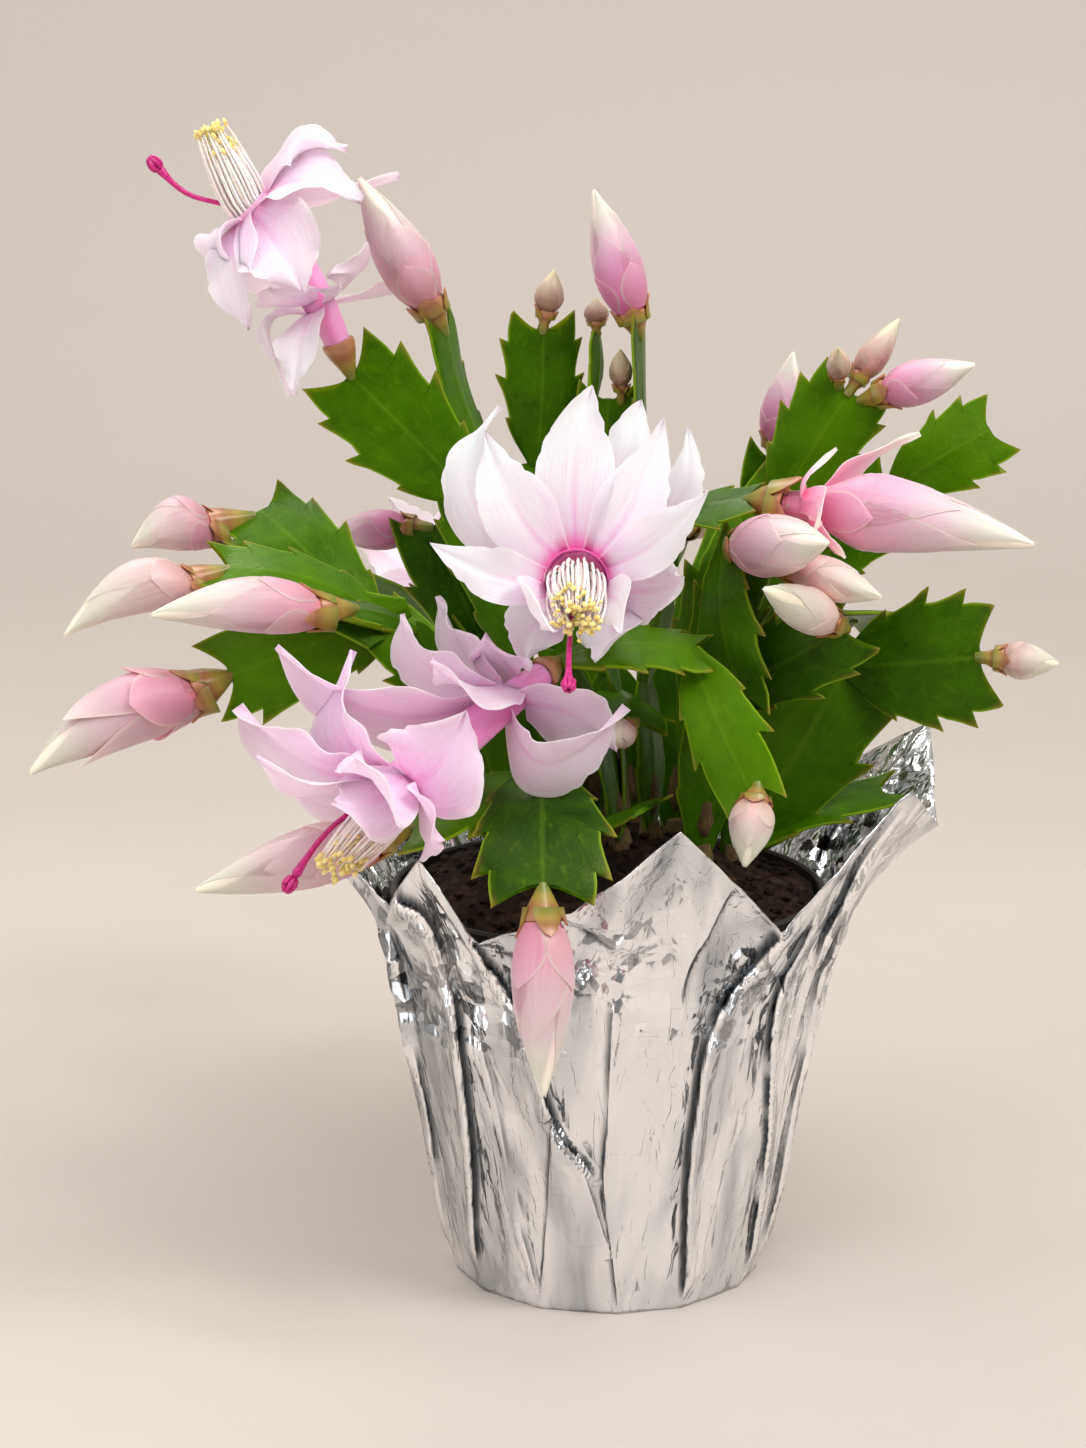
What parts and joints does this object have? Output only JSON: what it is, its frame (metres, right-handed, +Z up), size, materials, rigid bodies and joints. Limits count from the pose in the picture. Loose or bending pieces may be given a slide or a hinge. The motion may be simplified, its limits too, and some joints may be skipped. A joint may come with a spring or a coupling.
{
  "type": "potted christmas cactus",
  "caption": "flowering cactus with arching chains of flat toothed stem pads, buds and open flowers, in a tapered pot dressed in a flared foil sleeve",
  "frame": {"origin": "middle of the foil sleeve's flat base, on the surface it stands on", "axes": "+Z up through the pot's axis, -Y towards the viewer of the picture, +X to that viewer's right"},
  "size_m": [0.2624, 0.2797, 0.301],
  "materials": {
    "foil": "crinkled mirror-bright foil",
    "pot": "matte",
    "soil": "loose fibrous peat",
    "pads": "waxy, lightly glossy living tissue",
    "buds": "satin, pink to cream",
    "petals": "thin, translucent, satin",
    "stamens": "satin",
    "style": "satin"
  },
  "bodies": {
    "root": {"foil_sleeve": "foil", "growing_pot": "pot", "soil": "soil", "stem_top_left": "pads", "stem_top": "pads", "stem_top_mid": "pads", "stem_right_upper": "pads", "stem_right_far": "pads", "stem_middle": "pads", "stem_right_mid": "pads", "stem_right_low": "pads", "stem_front": "pads", "stem_centre": "pads", "stem_left": "pads", "stem_back_left": "pads", "stem_back": "pads", "stem_back_right": "pads", "bud_top_left": "buds", "bud_top": "buds", "bud_crown_left": "buds", "bud_crown_mid": "buds", "bud_crown_low": "buds", "bud_right_upper_small": "buds", "bud_right_upper_mid": "buds", "bud_right_upper": "buds", "bud_right_far": "buds", "bud_opening": "buds", "bud_right_near": "buds", "bud_right_under": "buds", "bud_right_cream": "buds", "bud_right_side": "buds", "bud_hanging_small": "buds", "bud_centre_small": "buds", "bud_left_upper": "buds", "bud_left_middle": "buds", "bud_left_front": "buds", "bud_left_lower": "buds", "bud_back_left": "buds", "bud_front_left": "buds", "bud_front": "buds", "bud_behind_left": "buds", "bud_behind": "buds", "bud_behind_low": "buds", "bud_behind_right": "buds", "flower_centre_petals": "petals", "flower_centre_stamens": "stamens", "flower_centre_style": "style", "flower_top_left_petals": "petals", "flower_top_left_stamens": "stamens", "flower_top_left_style": "style", "flower_left_petals": "petals", "flower_left_stamens": "stamens", "flower_left_style": "style", "flower_behind_petals": "petals", "flower_behind_stamens": "stamens", "flower_behind_style": "style"}
  },
  "joints": []
}
